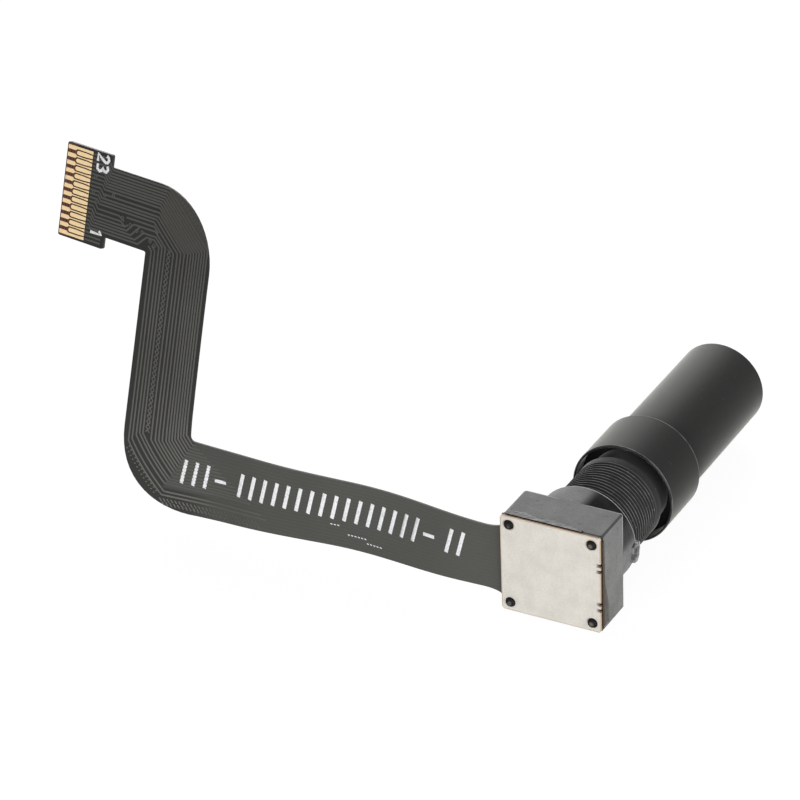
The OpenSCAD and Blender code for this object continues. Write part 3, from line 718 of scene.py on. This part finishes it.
def circuit_outline():
    """Outline of the circuit outside the mount, in the flat layout, clockwise from its root."""
    root_x = -HALF_BOARD
    flare = [i / 6 for i in range(6)]
    rise = [FLARE_H * (1 - math.sqrt(1 - (1 - u) ** 2)) for u in flare]
    lower = [(root_x - u * FLARE_L, -ROOT_W / 2 - f) for u, f in zip(flare, rise)]
    upper = [(root_x - u * FLARE_L, ROOT_W / 2 + f) for u, f in zip(flare, rise)]
    mid_low, mid_top = HEAD_MID - HEAD_W / 2, HEAD_MID + HEAD_W / 2
    return (lower + [(root_x - FLARE_L, -ROOT_W / 2)]
            + arc(OUTER_X + LOWER_R, LONG_LOW + LOWER_R, LOWER_R, 270, 180, 14)
            + arc(OUTER_X - CRISP_R, SHORT_Z - CRISP_R, CRISP_R, 0, 90, 5)
            + [(HEAD_X, SHORT_Z)]
            + arc(HEAD_X - HEAD_R, mid_low + HEAD_R, HEAD_R, 0, -90, 4)
            + arc(TIP_X + HEAD_R, mid_low + HEAD_R, HEAD_R, 270, 180, 4)
            + arc(TIP_X + HEAD_R, mid_top - HEAD_R, HEAD_R, 180, 90, 4)
            + arc(HEAD_X - HEAD_R, mid_top - HEAD_R, HEAD_R, 90, 0, 4)
            + [(HEAD_X, SHORT_TOP)]
            + arc(UPRIGHT_X - UPPER_R, SHORT_TOP - UPPER_R, UPPER_R, 90, 0, 14)
            + arc(UPRIGHT_X + INNER_R, LONG_TOP + INNER_R, INNER_R, 180, 270, 5)
            + [(root_x - FLARE_L, ROOT_W / 2)] + upper[::-1]
            + [(root_x + 1.0, ROOT_W / 2 + FLARE_H), (root_x + 1.0, -ROOT_W / 2 - FLARE_H)])


def cut_in_steps(bm, axis, start, end, step):
    """Cuts all faces at regular places along an axis, so that they can be bent."""
    for i in range(1, int((end - start) / step) + 1):
        place = Vector((0, 0, 0))
        place[axis] = start + i * step
        normal = Vector((0, 0, 0))
        normal[axis] = 1
        bmesh.ops.bisect_plane(bm, geom=bm.verts[:] + bm.edges[:] + bm.faces[:], dist=1e-5,
                               plane_co=place, plane_no=normal)


def flat_sheet(outline, back, front, step=0.5):
    """A flat closed sheet from an outline, cut finely enough to be bent."""
    bm = bmesh.new()
    bm.faces.new([bm.verts.new((x, back, z)) for x, z in outline])
    for axis, places in zip((0, 2), zip(*outline)):
        cut_in_steps(bm, axis, min(places), max(places), step)
    grown = bmesh.ops.extrude_face_region(bm, geom=bm.faces[:])
    moved = [v for v in grown["geom"] if isinstance(v, bmesh.types.BMVert)]
    bmesh.ops.translate(bm, vec=(0, front - back, 0), verts=moved)
    bmesh.ops.recalc_face_normals(bm, faces=bm.faces)
    return bm


def make_circuit():
    """The bent circuit, and the square board at its end inside the mount.

    The board is a trace thinner than the arm, so that no two faces lie in one plane.
    """
    bm = flat_sheet(circuit_outline(), 0, FLEX_T)
    board = bmesh.ops.create_cube(bm, size=1)["verts"]
    bmesh.ops.scale(bm, vec=(2 * HALF_BOARD, FLEX_T - 0.004, 2 * HALF_BOARD), verts=board)
    bmesh.ops.translate(bm, vec=(0, FLEX_T / 2, 0), verts=board)
    keep_flat(bm)
    bend(bm)
    return finish_piece(bm, "flexible_circuit", "coverlay", replaces=("flex_circuit",))


def walked(points, step=0.45):
    """The same line with more points, none further apart than step."""
    line = [points[0]]
    for a, b in zip(points, points[1:]):
        count = max(1, math.ceil(math.dist(a, b) / step))
        line += [(a[0] + (b[0] - a[0]) * i / count, a[1] + (b[1] - a[1]) * i / count)
                 for i in range(1, count + 1)]
    return line


def ridges(name, lines, width, height, finish):
    """Low rounded ridges along flat lines, on the circuit's rear face."""
    curve = bpy.data.curves.new(name, "CURVE")
    curve.dimensions = "3D"
    curve.bevel_depth = 0.5 * width
    curve.bevel_resolution = 1
    curve.use_fill_caps = True
    for line, closed in lines:
        spline = curve.splines.new("POLY")
        spline.points.add(len(line) - 1)
        for point, (x, z) in zip(spline.points, line):
            point.co = (x, 0, z, 1)
        spline.use_cyclic_u = closed
    helper = bpy.data.objects.new(name + "_line", curve)
    bpy.context.scene.collection.objects.link(helper)
    bpy.context.view_layer.update()
    bm = bmesh.new()
    bm.from_mesh(helper.to_mesh())
    helper.to_mesh_clear()
    bpy.data.objects.remove(helper)
    bpy.data.curves.remove(curve)
    bmesh.ops.scale(bm, vec=(1, 2 * height / width, 1), verts=bm.verts)
    bmesh.ops.recalc_face_normals(bm, faces=bm.faces)
    keep_flat(bm)
    bend(bm)
    return finish_piece(bm, name, finish, smooth_below=80)


# Upright arm: place of each track, where it turns at the lower and at the upper corner,
# and the height at which it leaves along the long arm and the short arm
UPRIGHT_TRACKS = (
    (-36.18, 1.62, 16.45, -2.05, None), (-35.84, 1.85, 16.55, -1.70, None),
    (-35.48, 2.25, 16.90, -0.97, 17.35), (-35.17, 2.50, 17.00, -0.74, 17.60),
    (-34.85, 2.58, 17.05, -0.50, 18.00), (-34.00, 2.28, 16.80, -0.20, 18.67),
    (-33.60, 2.32, 16.90, 0.10, 18.93), (-33.27, 2.40, 17.00, 0.40, 19.17),
    (-32.93, 2.45, 17.10, 0.72, 19.50), (-32.58, 2.52, 17.15, 1.02, 19.87),
    (-32.30, 2.60, 17.20, 1.28, 20.13), (-32.03, 2.72, 17.30, 1.54, 20.35),
    (-31.77, 2.86, 17.40, 1.80, 20.57), (-31.50, 3.00, 17.50, 2.07, 20.80),
    (-31.25, 3.16, 17.62, 2.32, 21.03), (-31.00, 3.32, 17.75, 2.58, 21.27),
    (-30.74, 3.50, 17.90, 2.83, 21.53))
LOWER_SLANT = math.tan(math.radians(49))
UPPER_SLANT = math.tan(math.radians(40))
FAN_START = -42.95
FAN_END = -42.5
FAN_STEP = 0.092
FAN_SLANT = 0.84


def contact_z(i):
    """Height of contact i, counted from the lowest."""
    return HEAD_MID + (i - (CONTACTS - 1) / 2) * CONTACT_PITCH


def fan(k, z):
    """Points from contact k + 4 to the short arm's line at height z."""
    start = contact_z(k + 4)
    end_x = FAN_END + FAN_STEP * k
    return [(FAN_START, start), (end_x - FAN_SLANT * abs(start - z), start), (end_x, z)]


def track_lines():
    """Every track as a line in the flat layout."""
    lines = []
    short_heights = sorted(t[4] for t in UPRIGHT_TRACKS if t[4])
    for x, corner_low, corner_top, z_low, z_top in UPRIGHT_TRACKS:
        low_x = x + (corner_low - z_low) / LOWER_SLANT
        fade = -24.0 - 1.2 * (z_low + 2)
        line = [(fade, z_low), (low_x, z_low), (x, corner_low), (x, corner_top)]
        if z_top and z_top > 18.3:
            k = short_heights.index(z_top) + 4
            line += [(x - (z_top - corner_top) / UPPER_SLANT, z_top)]
            line += fan(k, z_top)[::-1]
        elif z_top:
            line += [(x - (z_top - corner_top) / UPPER_SLANT, z_top),
                     (-38.2 + (18.0 - z_top) * 2.3, z_top)]
        else:
            line += [(x - 0.35, corner_top + 0.33)]
        lines.append((walked(line), False))
    # The short arm's lower tracks, which climb to the inner corner or end in a pad
    for k, (z, turn_x, end) in enumerate((
            (16.63, -37.62, (-36.75, 17.40)), (16.88, -37.95, (-37.05, 17.68)),
            (17.12, -38.40, (-37.55, 17.98)), (17.35, -38.85, (-38.20, 18.00)),
            (17.60, -39.10, (-38.75, 17.80)), (17.90, -39.55, (-39.05, 17.62)),
            (18.27, -39.75, (-39.20, 17.98)))):
        lines.append((walked(fan(k, z) + [(turn_x, z), end]), False))
    lines.append((walked([(-39.0, 18.34), (-36.15, 18.34), (-35.7, 17.96)]), False))
    for i in range(4):
        lines.append((walked([(FAN_START, contact_z(i)), (-41.35, contact_z(i))]), False))
    return lines


def pad_rings():
    """Small raised rings where a track changes layer."""
    places = ((-42.55, 20.62), (-42.60, 19.42), (-41.42, 19.45), (-42.15, 18.78), (-40.55, 19.68),
              (-39.42, 18.22), (-38.55, 17.88), (-37.85, 17.60), (-37.32, 17.62), (-36.42, 17.16),
              (-35.98, 16.92))
    return [(arc(x, z, 0.12, 0, 330, 11), True) for x, z in places]


def hatch_lines():
    """Woven ground beside the outermost track, and the crossed stripe on the upright arm."""
    lines = []
    left, middle, right = -34.62, -34.42, -34.24
    weave, gap = 0.42, 0.33
    for i in range(34):
        z = 2.75 + i * weave
        lines.append(([(left, z), (middle, z + 0.21), (right, z + weave)], False))
        lines.append(([(right, z), (middle, z + 0.21), (left, z + weave)], False))
    for i in range(26):
        x = -33.2 + i * gap
        lines.append(([(x, -2.35), (x + 0.16, -2.62)], False))
        lines.append(([(x + 0.2, -2.68), (x + 0.36, -2.98)], False))
    along = Vector((2.85, -3.3)).normalized()
    for i in range(13):
        centre = Vector((-36.08, 1.18)) + along * (gap * i)
        for off in (0.0, 0.3):
            p = centre + Vector((along.y, -along.x)) * off
            q = p + Vector((0.14, 0.05))
            lines.append(([tuple(p), tuple(q)], False))
    down = Vector((3.6, -2.75)).normalized()
    for i in range(12):
        centre = Vector((-34.3, 21.1)) + down * (gap * i)
        q = centre + Vector((0.2, 0.26))
        lines.append(([tuple(centre), tuple(q)], False))
    return lines


def band_marks():
    """A plain band of slanted bars on the long arm, with two dashes in it."""
    lines = []
    for i in range(25):
        x = -31.2 + i * 0.98
        if i in (3, 21):
            lines.append(([(x, 0.30), (x + 0.95, 0.30)], False))
        elif i not in (4, 22):
            lines.append((walked([(x, -0.62), (x + 0.55, 1.46)]), False))
    return lines


def band_ticks():
    """Small broken ticks under the band."""
    lines = []
    for start, z, count in ((-18.6, -1.1, 3), (-17.2, -1.75, 6), (-15.6, -2.1, 5)):
        for i in range(count):
            x = start + i * 0.28
            lines.append(([(x, z), (x + 0.16, z - 0.03)], False))
    return lines


DIGIT_HEIGHT = 1.12
DIGIT_STEP = 0.76


def digit_lines(digits, x0, z0):
    """Strokes of pin numbers, which read down the head with their tops towards the mount."""
    shapes = {
        "1": [[(0.0, 0.78), (0.24, 1.0), (0.24, 0.0)]],
        "2": [[(0.0, 0.78), (0.12, 0.95), (0.32, 1.0), (0.50, 0.88), (0.52, 0.70), (0.36, 0.44),
               (0.0, 0.0), (0.58, 0.0)]],
        "3": [[(0.0, 0.92), (0.26, 1.0), (0.48, 0.86), (0.42, 0.62), (0.22, 0.53), (0.44, 0.44),
               (0.54, 0.24), (0.36, 0.02), (0.0, 0.04)]],
    }
    lines = []
    for k, digit in enumerate(digits):
        for stroke in shapes[digit]:
            lines.append(([(x0 + up * DIGIT_HEIGHT, z0 - across - k * DIGIT_STEP) for across, up in stroke],
                          False))
    return lines


def pin_numbers():
    """Strokes of the numbers of the first and the last contact."""
    return digit_lines("23", -42.5, 22.42) + digit_lines("1", -42.45, 16.60)


def tip_marks():
    """Two small dark bars in each gap between the tips of the contacts."""
    lines = []
    for i in range(1, CONTACTS, 2):
        z = contact_z(i)
        for x in (-45.26, -44.98):
            lines.append(([(x, z - 0.075), (x, z + 0.075)], False))
    return lines


# ---------------------------------------------------------------- the mount

def make_mount():
    """The mount, with the ends of its melted pegs rounded into domes."""
    bm = from_cad("lens_mount")
    end = low("lens_mount").y + 0.01
    rims = [e for e in bm.edges if all(v.co.y < end for v in e.verts)]
    bmesh.ops.bevel(bm, geom=rims, offset=PEG_DOME, segments=6, profile=0.5, affect="EDGES",
                    clamp_overlap=True, material=-1)
    round_edges(bm, 0.035)
    return finish_piece(bm, "moulded_mount", "mount_plastic", replaces=("lens_mount",),
                        smooth_below=20)


def make_plate():
    """The plate, with its cut edges rounded."""
    bm = from_cad("rear_plate")
    round_edges(bm, 0.02)
    return finish_piece(bm, "pressed_plate", "plate_steel", replaces=("rear_plate",),
                        smooth_below=20)


# ---------------------------------------------------------------- the lens

def make_front_tube():
    """The front tube with its collar and skirt, turned in one piece."""
    skirt_r = COLLAR_R - SKIRT_WALL
    front = COLLAR_Y + COLLAR_L
    seat = COLLAR_Y + SKIRT_DEPTH
    chamfer, end_chamfer = 0.08, 0.12
    bm = bmesh.new()
    turned(bm, [(skirt_r, COLLAR_Y + 0.02), (skirt_r + 0.02, COLLAR_Y),
                (COLLAR_R - chamfer, COLLAR_Y), (COLLAR_R, COLLAR_Y + chamfer),
                (COLLAR_R, front - chamfer), (COLLAR_R - chamfer, front),
                (TUBE_R + 0.03, front), (TUBE_R, front + 0.03),
                (TUBE_R, TUBE_END - end_chamfer), (TUBE_R - end_chamfer, TUBE_END),
                (FRONT_CELL_R + end_chamfer, TUBE_END), (FRONT_CELL_R, TUBE_END - end_chamfer),
                (FRONT_CELL_R, seat + JOINT_L), (NECK_R, seat + JOINT_L), (NECK_R, seat),
                (skirt_r, seat)])
    return finish_piece(bm, "front_tube_turned", "black_anodised", replaces=("front_tube",))


def make_barrel():
    """The barrel with a true helical thread."""
    seat = COLLAR_Y + SKIRT_DEPTH
    land = THREAD_END + LAND_L
    root_r = CREST_R - THREAD_DEPTH
    stop = seat + JOINT_L
    bm = bmesh.new()
    turned(bm, [(REAR_CELL_R, BARREL_Y), (root_r, BARREL_Y), (root_r, THREAD_END - 0.04),
                (CREST_R - 0.03, THREAD_END), (CREST_R, THREAD_END + 0.05), (CREST_R, land - 0.06),
                (CREST_R - 0.06, land), (NECK_R, land), (NECK_R, stop), (THROAT_R, stop),
                (THROAT_R, REAR_CELL_END), (REAR_CELL_R, REAR_CELL_END)])
    turns = int((THREAD_END - BARREL_Y) / PITCH)
    start = THREAD_END - turns * PITCH - 0.1
    ridge = [bm.verts.new((r, start + y, 0)) for r, y in
             ((root_r - 0.03, 0.02), (CREST_R - 0.03, 0.13), (CREST_R, 0.155), (CREST_R, 0.195),
              (CREST_R - 0.03, 0.22), (root_r - 0.03, 0.33))]
    rim = [bm.edges.new(pair) for pair in zip(ridge, ridge[1:] + ridge[:1])]
    spun = bmesh.ops.spin(bm, geom=ridge + rim, cent=(0, 0, 0), axis=(0, 1, 0),
                          dvec=(0, PITCH / THREAD_STEPS, 0), angle=math.tau * turns,
                          steps=THREAD_STEPS * turns)
    bm.faces.new(ridge)
    bmesh.ops.contextual_create(bm, geom=[e for e in spun["geom_last"]
                                          if isinstance(e, bmesh.types.BMEdge)])
    bmesh.ops.recalc_face_normals(bm, faces=bm.faces)
    return finish_piece(bm, "threaded_barrel", "barrel_anodised", replaces=("lens_barrel",))


# ---------------------------------------------------------------- build

make_circuit()
ridges("tracks", track_lines(), width=0.17, height=0.016, finish="track")
ridges("layer_pads", pad_rings(), width=0.10, height=0.016, finish="track")
ridges("woven_ground", hatch_lines(), width=0.11, height=0.016, finish="track")
ridges("band_bars", band_marks(), width=0.34, height=0.022, finish="white_print")
ridges("band_ticks", band_ticks(), width=0.10, height=0.018, finish="white_print")
ridges("pin_number_shadows", pin_numbers(), width=0.46, height=0.018, finish="dark_print")
ridges("pin_numbers", pin_numbers(), width=0.29, height=0.026, finish="white_print")
ridges("tip_marks", tip_marks(), width=0.11, height=0.008, finish="dark_print")
make_front_tube()
make_barrel()
make_mount()
make_plate()

CAD_FINISHES = {s["node"]: s["material_slot"] for s in frame["record"]["subparts"]}
for name, node in nodes.items():
    node.data.materials.clear()
    node.data.materials.append(FINISHES[CAD_FINISHES[name]])


# ---------------------------------------------------------------- studio

# Level of the light from all sides, where a white surround would be 1
AMBIENT = 0.22
# How bright the floor shows to the camera, and how much of that replaces its own shading
FLOOR_SHOWN = 1.07
FLOOR_SHARE = 0.88
# Where the lamps point, in metres, and how far off they stand
AIM = Vector((-0.005, 0.015, 0.004))
LAMP_DISTANCE = 0.30


def make_studio():
    """White floor and surround: both show white, and light the object at a plain level."""
    rest_z = cad_box[0][2]
    bm = bmesh.new()
    bmesh.ops.create_grid(bm, x_segments=1, y_segments=1, size=3000)
    bmesh.ops.translate(bm, vec=(0, 0, rest_z / MM), verts=bm.verts)
    bmesh.ops.scale(bm, vec=(MM, MM, MM), verts=bm.verts)
    mesh = bpy.data.meshes.new("floor")
    bm.to_mesh(mesh)
    bm.free()
    floor = bpy.data.objects.new("floor", mesh)
    bpy.context.scene.collection.objects.link(floor)
    f = Finish("floor_white", base_color=grey(0.9), roughness=0.9)
    bright = f.node("ShaderNodeEmission", values={"Color": grey(1.0), "Strength": FLOOR_SHOWN})
    blended = f.node("ShaderNodeMixShader", values={
        0: shown_white(f) * FLOOR_SHARE, 1: Value(f, f.shader.outputs[0]), 2: bright})
    f.put(f.tree.nodes["Material Output"].inputs["Surface"], blended)
    mesh.materials.append(f.material)
    world = bpy.data.worlds.new("studio")
    bpy.context.scene.world = world
    world.use_nodes = True
    w = Shading(world.node_tree)
    background = w.tree.nodes["Background"]
    background.inputs["Color"].default_value = (1, 1, 1, 1)
    w.put(background.inputs["Strength"], AMBIENT + shown_white(w) * (1.0 - AMBIENT))


def shown_white(f):
    """1 for the rays that see or mirror the surround, 0 for those that light the object."""
    path = f.node("ShaderNodeLightPath", out="Is Camera Ray")
    mirrored, through = (Value(f, path.socket.node.outputs[name])
                         for name in ("Is Glossy Ray", "Is Transmission Ray"))
    return (path + mirrored + through).least(1.0)


def soft_lamp(name, direction, size, level):
    """Square soft lamp that lights a white surface facing it to the given level."""
    data = bpy.data.lights.new(name, "AREA")
    data.size = size
    data.energy = level * (math.pi * LAMP_DISTANCE) ** 2
    lamp = bpy.data.objects.new(name, data)
    towards = Vector(direction).normalized()
    lamp.matrix_world = (Matrix.Translation(AIM + towards * LAMP_DISTANCE)
                         @ towards.to_track_quat("Z", "Y").to_matrix().to_4x4())
    lamp.visible_camera = False
    bpy.context.scene.collection.objects.link(lamp)


def make_camera():
    """Long lens from behind, above and the right. Right, up and back are the camera's axes."""
    data = bpy.data.cameras.new("camera")
    data.lens = 189.0
    data.sensor_width = 36.0
    data.clip_end = 20
    camera = bpy.data.objects.new("camera", data)
    right = Vector((0.8832, 0.4678, -0.0342))
    up = Vector((-0.2099, 0.4594, 0.8631))
    back = Vector((0.4195, -0.7551, 0.5039))
    turn = Matrix((right, up, back)).transposed().to_4x4()
    place = Vector((114.484, -227.322, 163.329)) * MM
    camera.matrix_world = Matrix.Translation(place) @ turn
    bpy.context.scene.collection.objects.link(camera)
    bpy.context.scene.camera = camera


make_studio()
soft_lamp("front_left_lamp", (-0.49, 0.77, 0.41), size=0.28, level=1.05)
soft_lamp("rear_lamp", (0.20, -0.94, 0.22), size=0.20, level=0.46)
soft_lamp("right_lamp", (0.92, -0.38, 0.00), size=0.22, level=1.45)
make_camera()
bpy.context.scene.view_settings.view_transform = "Standard"
